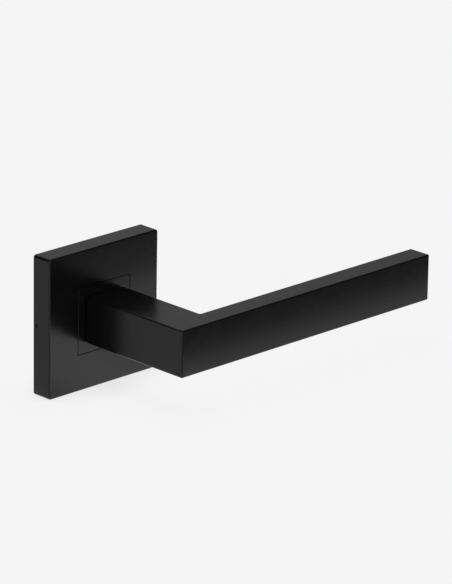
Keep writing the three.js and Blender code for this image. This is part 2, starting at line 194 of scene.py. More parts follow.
def slot_outline(half_length, radius, steps=12):
    """Two half circles joined by straight sides, long along v."""
    top = arc((0, half_length), radius, 0, 180, steps)
    bottom = arc((0, -half_length), radius, 180, 360, steps)
    return top + bottom


def cross_outline(reach, half_width):
    """A cross with four equal arms."""
    quarter = [(reach, -half_width), (reach, half_width), (half_width, half_width)]
    turned_points = []
    for _ in range(4):
        turned_points += quarter
        quarter = [(-v, u) for u, v in quarter]
    return turned_points


# Solids

def lift(outline, place, axis="y"):
    """A flat outline set square to an axis, at a place along it."""
    if axis == "x":
        return [(place, u, v) for u, v in outline]
    if axis == "z":
        return [(u, v, place) for u, v in outline]
    return [(u, place, v) for u, v in outline]


def loft(rings, closed=False):
    """A solid with its skin drawn through rings of equal length. A closed one joins the last ring
    to the first, and an open one has a flat end at each."""
    count = len(rings[0])
    faces = []
    for i in range(len(rings) if closed else len(rings) - 1):
        near, far = i * count, (i + 1) % len(rings) * count
        for j in range(count):
            k = (j + 1) % count
            faces.append((near + j, near + k, far + k, far + j))
    if not closed:
        faces.append(range(count))
        faces.append(range((len(rings) - 1) * count, len(rings) * count))
    mesh = bpy.data.meshes.new("solid")
    mesh.from_pydata([point for ring in rings for point in ring], [], [list(f) for f in faces])
    outward = bmesh.new()
    outward.from_mesh(mesh)
    bmesh.ops.recalc_face_normals(outward, faces=outward.faces)
    outward.to_mesh(mesh)
    outward.free()
    solid = bpy.data.objects.new("solid", mesh)
    bpy.context.scene.collection.objects.link(solid)
    return solid


def column(outline_of, stations, axis="y"):
    """A solid along an axis. outline_of(inset) gives its outline drawn in by that much, and
    stations are the (place, inset) pairs that it runs through."""
    return loft([lift(outline_of(inset), place, axis) for place, inset in stations])


def rim(place, edge, leaving=False, inward=1):
    """The stations of a rounded rim, which starts at a flat end or leaves to one."""
    angles = [math.radians(a) for a in spread(0, 90, RIM_STEPS)]
    stations = [
        (place + inward * edge * (1 - math.cos(a)), edge * (1 - math.sin(a))) for a in angles
    ]
    return stations[::-1] if leaving else stations


def prism(outline_of, front, back, edge, axis="y"):
    """A column with both rims rounded."""
    return column(outline_of, rim(front, edge) + rim(back, edge, True, -1), axis)


def block(low, high):
    """A sharp box, for cutting."""
    x0, y0, z0 = low
    x1, y1, z1 = high
    flat = [(x0, y0), (x1, y0), (x1, y1), (x0, y1)]
    return loft([lift(flat, z0, "z"), lift(flat, z1, "z")])


def turned(outline, sides=ROUND, closed=False, ridge=None):
    """An outline of (radius, y) points turned about the Y axis. ridge(angle, y) adds to the
    radius."""
    rings = []
    for radius, y in outline:
        ring = []
        for u, v in circle(1, sides):
            grown = radius + (ridge(math.atan2(v, u), y) if ridge else 0)
            ring.append((grown * u, y, grown * v))
        rings.append(ring)
    return loft(rings, closed)


def ring_section(inner, outer, front, back, edge):
    """The closed outline of a turned ring with rounded edges."""
    points = [(inner, front), (outer, front), (outer, back), (inner, back)]
    return rounded_outline(points, [edge] * 4, RIM_STEPS)


def combine(operation, solid, others):
    """Joins solids to the first, or cuts them from it."""
    for other in others:
        step = solid.modifiers.new("step", "BOOLEAN")
        step.operation = operation
        step.solver = "EXACT"
        step.object = other
        graph = bpy.context.evaluated_depsgraph_get()
        done = bpy.data.meshes.new_from_object(solid.evaluated_get(graph))
        solid.modifiers.clear()
        before = solid.data
        solid.data = done
        bpy.data.meshes.remove(before)
        used = other.data
        bpy.data.objects.remove(other)
        bpy.data.meshes.remove(used)
    return solid


def join(solid, *others):
    """The solids made into one."""
    return combine("UNION", solid, others)


def cut(solid, *others):
    """The solid without what the others cover."""
    return combine("DIFFERENCE", solid, others)


def common(solid, *others):
    """What all the solids cover."""
    return combine("INTERSECT", solid, others)


def moved(solid, place=(0, 0, 0), turn=0, axis="Y"):
    """Turns a solid about an axis, in degrees, and then moves it."""
    solid.data.transform(Matrix.Translation(place) @ Matrix.Rotation(math.radians(turn), 4, axis))
    return solid


def bore(radius, front, back, lead=0.3, sides=ROUND):
    """A cutter for a round hole with both mouths eased."""
    stations = [
        (front - PAST, -lead), (front, -lead), (front + lead, 0),
        (back - lead, 0), (back, -lead), (back + PAST, -lead),
    ]
    return column(lambda inset: circle(radius - inset, sides), stations)


def countersink(head, shank, length):
    """A cutter for a countersunk hole whose mouth is at y 0, running towards +Y."""
    wide = head + GAP
    narrow = shank + GAP
    outline = [(wide, -PAST), (wide, 0), (narrow, wide - narrow), (narrow, length)]
    return turned(outline, SMALL)


def cross_recess(reach, half_width, depth):
    """A cutter for the cross recess in a screw's head at y 0. It tapers by the sizes given."""
    stations = [(-PAST, 1.0), (0, 1.0), (0.7 * depth, 0.72), (depth, 0.4)]
    rings = []
    for y, size in stations:
        arm = (1 + size) / 2 * half_width
        rings.append(lift(cross_outline(max(reach * size, arm * 1.05), arm), y))
    return loft(rings)


# Materials. Each noise's scale is in features to the metre, and each relief's depth in metres.

# A noise's values mostly lie between these
NOISE_LOW, NOISE_HIGH = 0.3, 0.7


def new_material(name):
    """A new material, with its nodes, its links and its main shader."""
    material = bpy.data.materials.new(name + "_finish")
    material.use_nodes = True
    nodes = material.node_tree.nodes
    return material, nodes, material.node_tree.links, nodes["Principled BSDF"]


def place_noise(nodes, links, scale, detail=3.0, stretch=(1, 1, 1)):
    """A noise fixed to the object. It can be stretched or squeezed along each axis."""
    place = nodes.new("ShaderNodeTexCoord")
    mapping = nodes.new("ShaderNodeMapping")
    mapping.inputs["Scale"].default_value = stretch
    noise = nodes.new("ShaderNodeTexNoise")
    noise.inputs["Scale"].default_value = scale
    noise.inputs["Detail"].default_value = detail
    links.new(place.outputs["Object"], mapping.inputs["Vector"])
    links.new(mapping.outputs["Vector"], noise.inputs["Vector"])
    return noise.outputs["Fac"]


def vary(nodes, links, factor, low, high, socket):
    """Lets a noise move a number between two limits."""
    ranged = nodes.new("ShaderNodeMapRange")
    ranged.inputs["From Min"].default_value = NOISE_LOW
    ranged.inputs["From Max"].default_value = NOISE_HIGH
    ranged.inputs["To Min"].default_value = low
    ranged.inputs["To Max"].default_value = high
    links.new(factor, ranged.inputs["Value"])
    links.new(ranged.outputs["Result"], socket)


def tint(nodes, links, factor, dark, light, socket):
    """Lets a noise move a colour between two limits."""
    ramp = nodes.new("ShaderNodeValToRGB")
    for element, position, colour in zip(
            ramp.color_ramp.elements, (NOISE_LOW, NOISE_HIGH), (dark, light)):
        element.position = position
        element.color = (*colour, 1)
    links.new(factor, ramp.inputs["Fac"])
    links.new(ramp.outputs["Color"], socket)


def relief(nodes, links, height, depth, shader):
    """Lets a noise roughen a surface's look."""
    bump = nodes.new("ShaderNodeBump")
    bump.inputs["Strength"].default_value = 1.0
    bump.inputs["Distance"].default_value = depth
    links.new(height, bump.inputs["Height"])
    links.new(bump.outputs["Normal"], shader.inputs["Normal"])


def satin_black():
    """Powder coat: nearly black, with a fine even orange peel under a satin gloss."""
    material, nodes, links, shader = new_material("satin_black")
    fleck = place_noise(nodes, links, 2600, 2.0)
    tint(nodes, links, fleck, (0.0009, 0.0009, 0.0009), (0.0018, 0.0018, 0.0018),
         shader.inputs["Base Color"])
    vary(nodes, links, place_noise(nodes, links, 240, 4.0), 0.23, 0.27, shader.inputs["Roughness"])
    shader.inputs["IOR"].default_value = 1.5
    relief(nodes, links, place_noise(nodes, links, 1500, 1.0), 0.000006, shader)
    return material


def cast_zinc():
    """Die-cast zinc alloy: dull grey, with flow marks and a slightly grainy skin."""
    material, nodes, links, shader = new_material("cast_zinc")
    flow = place_noise(nodes, links, 160, 5.0, (1, 1, 2.2))
    tint(nodes, links, flow, (0.30, 0.30, 0.31), (0.46, 0.46, 0.475), shader.inputs["Base Color"])
    vary(nodes, links, place_noise(nodes, links, 700, 4.0), 0.38, 0.58, shader.inputs["Roughness"])
    shader.inputs["Metallic"].default_value = 0.9
    relief(nodes, links, place_noise(nodes, links, 1900, 3.0), 0.00003, shader)
    return material


def plated_steel():
    """Bright zinc plate over drawn steel, with fine marks along its length."""
    material, nodes, links, shader = new_material("plated_steel")
    cloud = place_noise(nodes, links, 220, 3.0)
    tint(nodes, links, cloud, (0.50, 0.52, 0.55), (0.66, 0.67, 0.69), shader.inputs["Base Color"])
    drawn = place_noise(nodes, links, 2400, 2.0, (1, 0.04, 1))
    vary(nodes, links, drawn, 0.22, 0.36, shader.inputs["Roughness"])
    shader.inputs["Metallic"].default_value = 1.0
    relief(nodes, links, drawn, 0.000008, shader)
    return material


def spring_steel():
    """Oiled spring steel: dark grey, with a faint brown and blue bloom."""
    material, nodes, links, shader = new_material("spring_steel")
    bloom = place_noise(nodes, links, 320, 3.0)
    tint(nodes, links, bloom, (0.26, 0.245, 0.235), (0.30, 0.32, 0.35),
         shader.inputs["Base Color"])
    vary(nodes, links, place_noise(nodes, links, 1400, 3.0), 0.26, 0.42,
         shader.inputs["Roughness"])
    shader.inputs["Metallic"].default_value = 1.0
    relief(nodes, links, place_noise(nodes, links, 2600, 2.0), 0.000006, shader)
    return material


def black_steel():
    """Black oxide on a machined screw."""
    material, nodes, links, shader = new_material("black_steel")
    worn = place_noise(nodes, links, 900, 4.0)
    tint(nodes, links, worn, (0.022, 0.022, 0.025), (0.045, 0.045, 0.048),
         shader.inputs["Base Color"])
    vary(nodes, links, worn, 0.32, 0.5, shader.inputs["Roughness"])
    shader.inputs["Metallic"].default_value = 0.7
    relief(nodes, links, place_noise(nodes, links, 3000, 2.0), 0.000006, shader)
    return material


def nylon():
    """Moulded natural nylon, slightly waxy and not quite even in colour."""
    material, nodes, links, shader = new_material("nylon")
    cloud = place_noise(nodes, links, 260, 3.0)
    tint(nodes, links, cloud, (0.70, 0.68, 0.61), (0.80, 0.78, 0.72), shader.inputs["Base Color"])
    vary(nodes, links, place_noise(nodes, links, 1200, 3.0), 0.42, 0.58,
         shader.inputs["Roughness"])
    shader.inputs["Subsurface Weight"].default_value = 0.2
    shader.inputs["Subsurface Scale"].default_value = 0.001
    relief(nodes, links, place_noise(nodes, links, 2200, 2.0), 0.00001, shader)
    return material


MATERIALS = {
    "satin_black": satin_black(),
    "cast_zinc": cast_zinc(),
    "plated_steel": plated_steel(),
    "spring_steel": spring_steel(),
    "black_steel": black_steel(),
    "nylon": nylon(),
}

# Edges that bend by more than this stay sharp
SHARP = math.radians(32)


def finished(node, solid):
    """Turns a solid into the piece that stands for a CAD node: in metres, with its finish and
    smooth shading."""
    mesh = solid.data
    mesh.transform(Matrix.Scale(MM, 4))
    solid.name = node + "_finished"
    mesh.name = solid.name
    mesh.materials.clear()
    mesh.materials.append(MATERIALS[SLOT_OF[node]])
    mesh.shade_smooth()
    mesh.set_sharp_from_angle(angle=SHARP)
    even = solid.modifiers.new("even shading", "WEIGHTED_NORMAL")
    even.keep_sharp = True
    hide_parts(node)
    return solid


def fitted(node, solid):
    """A finished piece that moves with its CAD node's body."""
    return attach(finished(node, solid), BODY_OF[node])


# The rose's pieces

COVER_CORNER = 1.0

# The clips. A clip's line runs in the middle of its leaf, and these are the places of the upper
# clips' lines: the foot's depth, the inner leg's height and the bump's depth.
CLIPS = [f"cover_clip_{i}" for i in (1, 2, 3, 4)]
CLIP_LOW, CLIP_HIGH = corners("cover_clip_2")
CLIP_HALF_WIDTH = (CLIP_HIGH.x - CLIP_LOW.x) / 2
CLIP_THICKNESS = 0.35
CLIP_FOOT = CLIP_LOW.y + CLIP_THICKNESS / 2
CLIP_INNER_LEG = CLIP_LOW.z + 1.05
CLIP_BUMP = DOOR_FACE - 2.5

# The slot in the cover's left wall for the tool that lifts it off
SLOT_MIDDLE = DOOR_FACE - 1.6

PLATE_SCREWS = [f"back_plate_screw_{i}" for i in (1, 2, 3, 4)]
PLATE_SCREW_HEAD = 2.3
PLATE_SCREW_SHANK = 1.2
WOOD_SCREWS = ["wood_screw_upper", "wood_screw_lower"]
WOOD_SCREW_HEAD = 3.4
WOOD_SCREW_SHANK = 1.75

# The return spring's wire, and the line of its middle. Angles about the axis run from +Z towards
# +X, the way the lever turns. Each end bends away from the coil over some degrees.
WIRE = 0.65
COIL = 11.6
SPRING_FRONT = CAVITY_FRONT + 0.8
SPRING_BACK = PLATE_FRONT - 0.8
SPRING_START = 157.5
SPRING_END = 720
OUTER_REACH = 14.6
OUTER_BEND = 17
INNER_REACH = 9.3
INNER_BEND = 20

# The driver's lug, and the turn that the back plate's window lets it make
LUG_INNER, LUG_OUTER = 8.2, 10.0
LUG_FROM, LUG_TO = 170, 190
LUG_PLAY = 2
TURN = frame["joints"][0]["range_deg"][1]


def rose_cover():
    """A square pan with a window in its face. Its section runs up the outer wall, over the rim,
    across the face, round the window's edge and back down the inside."""
    soft = 0.1
    easing = 0.15
    section = [(ROSE_HALF - easing, COVER_CORNER - easing, DOOR_FACE)]
    section.append((ROSE_HALF, COVER_CORNER, DOOR_FACE - easing))
    for y, inset in rim(ROSE_FRONT, ROUNDED, True):
        section.append((ROSE_HALF - inset, COVER_CORNER - inset, y))
    for y, inset in rim(ROSE_FRONT, soft):
        section.append((WINDOW_HALF + inset, GAP + inset, y))
    section.append((WINDOW_HALF, GAP, COVER_INSIDE))
    section.append((COVER_INNER, GAP + easing, COVER_INSIDE))
    section.append((COVER_INNER, GAP + easing, DOOR_FACE - easing))
    section.append((COVER_INNER + easing, GAP + 2 * easing, DOOR_FACE))
    shell = loft([lift(rounded_square(half, corner), y) for half, corner, y in section], True)
    return cut(shell, *clip_grooves(), release_slot())


def clip_grooves():
    """Grooves inside the upper and lower walls, which the clips' bumps snap into."""
    half_width = 0.8
    half_length = 18
    depth = 0.5
    cutters = []
    for side in (1, -1):
        groove = block(
            (-half_length, CLIP_BUMP - half_width, COVER_INNER - PAST),
            (half_length, CLIP_BUMP + half_width, COVER_INNER + depth),
        )
        cutters.append(moved(groove, turn=0 if side > 0 else 180))
    return cutters


def release_slot():
    """The cutter for the slot in the left wall, long along Z."""
    radius = 0.3
    half_length = 0.45
    lead = 0.08
    stations = [
        (-ROSE_HALF - PAST, -lead), (-ROSE_HALF, -lead), (-ROSE_HALF + lead, 0),
        (-COVER_INNER + PAST, 0),
    ]

    def outline_of(inset):
        return [(u + SLOT_MIDDLE, v) for u, v in slot_outline(half_length, radius - inset)]

    return column(outline_of, stations, "x")


def neck_collar():
    """The square plate in the window. It has a shank behind, and a stepped bore for the bush."""
    edge = 0.1
    corner = 0.4
    shoulder = BASE_FRONT - CLOSE
    lip = ROSE_FRONT + 1
    steps = 4 * CORNER_STEPS + 3
    sides = 4 * (steps + 1)
    rings = []
    for y, inset in rim(ROSE_FRONT, edge):
        rings.append(lift(rounded_square(COLLAR_HALF - inset, corner - inset, steps), y))
    rings.append(lift(rounded_square(COLLAR_HALF, corner, steps), shoulder))
    rings.append(lift(rounded_square(COLLAR_SHANK, corner, steps), shoulder))
    rings.append(lift(rounded_square(COLLAR_SHANK, corner, steps), COLLAR_BACK))
    counterbore = BUSH_RADIUS + 0.1
    for radius, y in [(counterbore, COLLAR_BACK), (counterbore, lip), (PLATE_HOLE, lip)]:
        rings.append(lift(circle(radius, sides), y))
    for y, inset in rim(ROSE_FRONT, edge, True):
        rings.append(lift(circle(PLATE_HOLE + inset, sides), y))
    return loft(rings, True)


def neck_bush():
    """A flanged bush that the lever's boss turns in."""
    inner = BOSS_RADIUS + SLIP
    points = [
        (inner, BUSH_LOW.y), (BUSH_RADIUS, BUSH_LOW.y), (BUSH_RADIUS, CAVITY_FRONT),
        (BUSH_HIGH.x, CAVITY_FRONT), (BUSH_HIGH.x, BUSH_HIGH.y), (inner, BUSH_HIGH.y),
    ]
    return turned(rounded_outline(points, [0.2, 0.2, 0.1, 0.15, 0.15, 0.2], 3), closed=True)


def plate_screw_holes():
    """Cutters for the back plate's screws, which go in from behind."""
    depth = 4.4
    return [
        moved(moved(countersink(PLATE_SCREW_HEAD, PLATE_SCREW_SHANK, depth), turn=180, axis="X"),
              (middle(node).x, corners(node)[1].y, middle(node).z))
        for node in PLATE_SCREWS
    ]


def rose_base():
    """The die casting that is screwed to the door."""
    ease = 0.25
    body = prism(lambda inset: rounded_square(BASE_HALF - inset, 1 - inset),
                 BASE_FRONT, DOOR_FACE, ease)
    past = DOOR_FACE + PAST
    collar_hole = column(
        lambda inset: rounded_square(COLLAR_SHANK + CLOSE - inset, 0.5 - inset),
        [(BASE_FRONT - PAST, -ease), (BASE_FRONT, -ease), (BASE_FRONT + ease, 0),
         (CAVITY_FRONT + 0.2, 0)],
    )
    cavity = column(lambda inset: circle(CAVITY_RADIUS - inset),
                    [(CAVITY_FRONT, ease), (CAVITY_FRONT + ease, 0), (past, 0)])
    recess = column(
        lambda inset: rounded_square(PLATE_HALF + SLIP - inset, 1 - inset),
        [(PLATE_FRONT - 0.1, 0), (DOOR_FACE - ease / 2, 0), (DOOR_FACE, -ease / 2),
         (past, -ease / 2)],
    )
    notch_depth, notch_half, notch_half_length = 0.8, 1, 1.6
    tool_notch = block(
        (-BASE_HALF - PAST, SLOT_MIDDLE - notch_half, -notch_half_length),
        (-BASE_HALF + notch_depth, SLOT_MIDDLE + notch_half, notch_half_length),
    )
    cutters = [
        collar_hole, cavity, recess, tool_notch, spring_slot(), *wood_screw_holes(),
        *bolt_holes(), *corner_pockets(), *plate_screw_holes(), *clip_pockets(),
    ]
    return cut(body, *cutters)


def wood_screw_holes():
    """Cutters for the screws that hold the base on the door."""
    depth = DOOR_FACE - BASE_FRONT + PAST
    return [
        moved(countersink(WOOD_SCREW_HEAD, WOOD_SCREW_SHANK, depth),
              (middle(node).x, corners(node)[0].y, middle(node).z))
        for node in WOOD_SCREWS
    ]


def bolt_holes():
    """Through holes with counterbores, beside the spring, for bolts through the door."""
    place = middle("wood_screw_upper").z
    shank_radius, head_radius, head_depth = 2.2, 4.2, 3
    ease = 0.2
    cutters = []
    for side in (1, -1):
        shank = bore(shank_radius, BASE_FRONT, DOOR_FACE, ease, SMALL)
        head = column(
            lambda inset: circle(head_radius - inset, SMALL),
            [(BASE_FRONT - PAST, -ease), (BASE_FRONT, -ease), (BASE_FRONT + ease, 0),
             (BASE_FRONT + head_depth, 0)],
        )
        cutters += [moved(cutter, (side * place, 0, 0)) for cutter in (shank, head)]
    return cutters


def corner_pockets():
    """Hollows in the back of the casting's four corners."""
    wall, floor_thickness, corner = 1.6, 1.8, 0.8
    near, far = 17, BASE_HALF - wall
    centre, half = (near + far) / 2, (far - near) / 2
    floor = BASE_FRONT + floor_thickness
    ease = 0.25
    stations = [(floor, ease), (floor + ease, 0), (DOOR_FACE - ease, 0), (DOOR_FACE, -ease),
                (DOOR_FACE + PAST, -ease)]
    return [
        moved(column(lambda inset: rounded_square(half - inset, corner - inset), stations),
              (x, 0, z))
        for x in (centre, -centre)
        for z in (centre, -centre)
    ]


def spring_slot():
    """The slot in the cavity's wall that holds the spring's outer end."""
    before, after = -1.2, 3.6
    reach = OUTER_REACH + WIRE + GAP
    slot = block((before, CAVITY_FRONT, CAVITY_RADIUS - PAST), (after, DOOR_FACE + PAST, reach))
    return moved(slot, turn=SPRING_START)


def clip_pockets():
    """The pockets that hold the cover's clips."""
    half = CLIP_HALF_WIDTH + GAP
    room = 0.4
    floor = CLIP_FOOT - room
    inner = CLIP_INNER_LEG - room
    pockets = []
    for node in CLIPS:
        pocket = block((-half, floor, inner), (half, DOOR_FACE + PAST, BASE_HALF + PAST))
        foot = block((-half, floor, CLIP_LOW.z - GAP), (half, CLIP_FOOT + room, inner + room))
        pockets.append(moved(join(pocket, foot), (middle(node).x, 0, 0), clip_turn(node)))
    return pockets


def sector(inner, outer, first, last, steps=24):
    """A ring's sector, its angles running from +Z towards +X in degrees."""
    outward = arc((0, 0), outer, 90 - first, 90 - last, steps)
    return outward + arc((0, 0), inner, 90 - last, 90 - first, steps)


def back_plate():
    """The pressed plate that closes the spring's cavity. Its window stops the driver's lug."""
    edge = 0.12
    plate = prism(lambda inset: rounded_square(PLATE_HALF - inset, 1 - inset),
                  PLATE_FRONT, DOOR_FACE, edge)
    window = sector(BOSS_RADIUS, LUG_OUTER + GAP, LUG_FROM - LUG_PLAY, LUG_TO + TURN + LUG_PLAY)
    stop = loft([lift(window, PLATE_FRONT - PAST), lift(window, DOOR_FACE + PAST)])
    return cut(plate, bore(PLATE_HOLE, PLATE_FRONT, DOOR_FACE, edge), stop, *plate_screw_holes())


def smoothstep(value):
    """Eases a value in and out between 0 and 1."""
    value = min(max(value, 0), 1)
    return value * value * (3 - 2 * value)


def spring_point(share):
    """The middle of the wire, from its outer end at 0 to its inner end at 1."""
    angle = SPRING_START + share * (SPRING_END - SPRING_START)
    outer = 1 - smoothstep((angle - SPRING_START) / OUTER_BEND)
    inner = 1 - smoothstep((SPRING_END - angle) / INNER_BEND)
    radius = COIL + outer * (OUTER_REACH - COIL) + inner * (INNER_REACH - COIL)
    y = SPRING_FRONT + share * (SPRING_BACK - SPRING_FRONT)
    angle = math.radians(angle)
    return Vector((radius * math.sin(angle), y, radius * math.cos(angle)))


def tube(points, radius, sides, edge):
    """A round wire along a line that winds about the Y axis, with its ends rounded."""
    rings = []
    last = len(points) - 1

    def ring(centre, along, size):
        side = along.cross(Vector((0, 1, 0))).normalized()
        up = side.cross(along)
        return [centre + side * u + up * v for u, v in circle(size, sides)]

    for i, point in enumerate(points):
        along = (points[min(i + 1, last)] - points[max(i - 1, 0)]).normalized()
        if i in (0, last):
            way = -1 if i == 0 else 1
            stations = [(way * edge * (math.sin(a) - 1), radius - edge * (1 - math.cos(a)))
                        for a in [math.radians(x) for x in spread(0, 90, RIM_STEPS)]]
            end_rings = [ring(point + along * shift, along, size) for shift, size in stations]
            rings += end_rings[::-1] if i == 0 else end_rings
        else:
            rings.append(ring(point, along, radius))
    return loft(rings)


def return_spring():
    """A torsion spring with one end bent out and the other bent in."""
    steps, sides, edge = 420, 20, 0.15
    return tube([spring_point(share) for share in spread(0, 1, steps)], WIRE, sides, edge)


def clip_turn(node):
    """The clips below are the ones above turned about the spindle axis."""
    return 0 if middle(node).z > 0 else 180


def cover_clip(node):
    """A bent leaf spring. Its foot and leg lie in the base, and its bump reaches into the cover."""
    half = CLIP_THICKNESS / 2
    back = CLIP_HIGH.y - half
    outer_leg = CLIP_INNER_LEG + 0.8
    bump = CLIP_HIGH.z - half
    bump_half = 0.15
    corners_of_line = [
        (CLIP_FOOT, CLIP_LOW.z), (CLIP_FOOT, CLIP_INNER_LEG), (back, CLIP_INNER_LEG),
        (back, outer_leg), (CLIP_BUMP + 0.9, outer_leg), (CLIP_BUMP + bump_half, bump),
        (CLIP_BUMP - bump_half, bump), (CLIP_BUMP - 1, outer_leg - 0.1),
        (CLIP_BUMP - 1.7, outer_leg - 0.3),
    ]
    bends = [0.3, 0.38, 0.38, 0.3, 0.15, 0.15, 0.5]
    line = [corners_of_line[0]]
    for i, radius in enumerate(bends, 1):
        line += rounded_corner(*corners_of_line[i - 1:i + 2], radius)
    line.append(corners_of_line[-1])
    line = [Vector(point) for point in line]
    edge, steps = 0.1, 3
    section = rounded_outline([
        (half, CLIP_HALF_WIDTH), (-half, CLIP_HALF_WIDTH),
        (-half, -CLIP_HALF_WIDTH), (half, -CLIP_HALF_WIDTH),
    ], [edge] * 4, steps)
    rings = []
    for i, point in enumerate(line):
        along = (line[min(i + 1, len(line) - 1)] - line[max(i - 1, 0)]).normalized()
        normal = Vector((-along.y, along.x))
        rings.append([(across, *(point + normal * out)) for out, across in section])
    return moved(loft(rings), (middle(node).x, 0, 0), clip_turn(node))


def thread(depth, pitch, first, last, fade):
    """How far a screw's thread stands from its core, at an angle and a place along it. It fades in
    after first and out before last."""
    flank = 0.38

    def ridge(angle, y):
        phase = (y / pitch - angle / (2 * math.pi)) % 1
        crest = max(0, 1 - abs(phase - 0.5) / flank)
        ends = min(smoothstep((y - first) / fade), smoothstep((last - y) / fade))
        return depth * crest * ends
    return ridge


def screw_outline(head, core, length, point, rows_per_turn, pitch):
    """A countersunk screw's outline from its face at y 0 to its blunt point."""
    easing = 0.12
    tip = 0.12
    outline = [(head - easing, 0), (head, easing * 0.8), (core, head - core + easing)]
    first, last = outline[-1][1], length - point
    rows = max(2, round((last - first) / pitch * rows_per_turn))
    outline += [(core, y) for y in spread(first, last, rows)[1:]]
    rows = max(2, round(point / pitch * rows_per_turn))
    outline += [(core + (tip - core) * t, last + point * t) for t in spread(0, 1, rows)[1:]]
    return outline


def wood_screw(node):
    """A countersunk screw with a cross recess and a coarse thread down to its point."""
    low, high = corners(node)
    length = high.y - low.y
    core, pitch, point, rows_per_turn = 1.2, 1.5, 5, 16
    outline = screw_outline(WOOD_SCREW_HEAD, core, length, point, rows_per_turn, pitch)
    first, last, fade = 3.2, length + 0.2, 1.5
    ridge = thread(WOOD_SCREW_SHANK - core, pitch, first, last, fade)
    recess = cross_recess(reach=1.9, half_width=0.42, depth=1.9)
    return moved(cut(turned(outline, SMALL, ridge=ridge), recess),
                 (middle(node).x, low.y, middle(node).z))


def back_plate_screw(node):
    """A small countersunk screw with a cross recess and a fine thread, its head to the door."""
    low, high = corners(node)
    length = high.y - low.y
    core, pitch, point, rows_per_turn = 0.95, 0.6, 0.5, 12
    outline = screw_outline(PLATE_SCREW_HEAD, core, length, point, rows_per_turn, pitch)
    first, fade = 1.5, 0.4
    ridge = thread(PLATE_SCREW_SHANK - core, pitch, first, length, fade)
    recess = cross_recess(reach=1.25, half_width=0.28, depth=1.1)
    solid = cut(turned(outline, SMALL, ridge=ridge), recess)
    return moved(moved(solid, turn=180, axis="X"), (middle(node).x, high.y, middle(node).z))


# The lever's pieces

# The circlip's groove in the boss, the front of the boss's flats, and the spindle's hole
GROOVE_FRONT, GROOVE_BACK = 1.6, 2.8
GROOVE_RADIUS = 7.05
BOSS_FLATS = BUSH_HIGH.y + 0.1
SPINDLE_HOLE = SPINDLE_HIGH.x + CLOSE
SPINDLE_SEAT = SPINDLE_LOW.y - 0.5


def lever_outline(inset):
    """The L seen from above, drawn in by inset. Its corners stay concentric."""
    corner = ROUNDED + 0.05
    left, right, tip = -NECK_HALF + inset, NECK_HALF - inset, LEVER_HIGH.x - inset
    outer = LEVER_LOW.y + inset
    grip_back = LEVER_LOW.y + GRIP_THICKNESS - inset
    shoulder = NECK_SHOULDER - inset
    points = [(left, shoulder), (left, outer), (tip, outer), (tip, grip_back),
              (right, grip_back), (right, shoulder)]
    convex, concave = corner - inset, corner + inset
    return rounded_outline(points, [convex, convex, convex, convex, concave, convex])


def lever():
    """One casting: the neck, the grip and the boss, bored for the spindle and its grub screw."""
    handle = prism(lever_outline, LEVER_LOW.z, LEVER_HIGH.z, ROUNDED, "z")
    end = LEVER_HIGH.y
    ease = 0.3
    boss = turned([
        (BOSS_RADIUS, NECK_SHOULDER - PAST), (BOSS_RADIUS, GROOVE_FRONT),
        (GROOVE_RADIUS, GROOVE_FRONT), (GROOVE_RADIUS, GROOVE_BACK),
        (BOSS_RADIUS, GROOVE_BACK), (BOSS_RADIUS, end - ease), (BOSS_RADIUS - ease, end),
    ])
    wide = 10
    flats = [
        moved(block((-wide, BOSS_FLATS, BOSS_FLAT), (wide, end + PAST, wide)), turn=turn)
        for turn in (0, 180)
    ]
    spindle_hole = column(
        lambda inset: rounded_square(SPINDLE_HOLE - inset, 0.4 - inset),
        [(SPINDLE_SEAT, 0), (end - ease, 0), (end, -ease), (end + PAST, -ease)],
    )
    grub = middle("spindle_grub_screw")
    grub_radius = corners("spindle_grub_screw")[1].x + SLIP
    floor = LEVER_LOW.z
    grub_hole = column(
        lambda inset: circle(grub_radius - inset, SMALL),
        [(floor - PAST, -ease), (floor, -ease), (floor + ease, 0), (-PAST, 0)], "z",
    )
    return cut(join(handle, cut(boss, *flats)), spindle_hole, moved(grub_hole, (0, grub.y, 0)))


def spring_driver():
    """The ring on the boss's flats. Its notch holds the spring's inner end, and its lug limits
    the turn."""
    ease = 0.25
    hub = prism(lambda inset: circle(DRIVER_RADIUS - inset), DRIVER_FRONT, DRIVER_BACK, ease)
    lug_outline = sector(LUG_INNER, LUG_OUTER, LUG_FROM, LUG_TO, 8)
    lug_back = corners("spring_driver")[1].y
    lug = loft([lift(lug_outline, DRIVER_BACK - 0.5), lift(lug_outline, lug_back)])
    front, past = DRIVER_FRONT - PAST, DOOR_FACE + PAST
    flat = BOSS_FLAT + CLOSE
    hole = common(
        column(lambda inset: circle(BOSS_RADIUS + CLOSE - inset), [(front, 0), (past, 0)]),
        block((-DRIVER_RADIUS, front - PAST, -flat), (DRIVER_RADIUS, past + PAST, flat)),
    )
    before, after = -3.6, 1.3
    notch = block(
        (before, SPRING_BACK - WIRE - GAP, INNER_REACH - WIRE - SLIP),
        (after, DOOR_FACE, DRIVER_RADIUS + PAST),
    )
    return cut(join(hub, lug), hole, notch)


def half_spindle():
    """A square bar with a chamfer at each end."""
    half = SPINDLE_HIGH.x
    corner = 0.55
    chamfer = 0.5
    stations = [
        (SPINDLE_LOW.y, chamfer), (SPINDLE_LOW.y + chamfer, 0),
        (SPINDLE_HIGH.y - chamfer, 0), (SPINDLE_HIGH.y, chamfer),
    ]
    return column(lambda inset: rounded_square(half - inset, corner - inset * 0.6), stations)


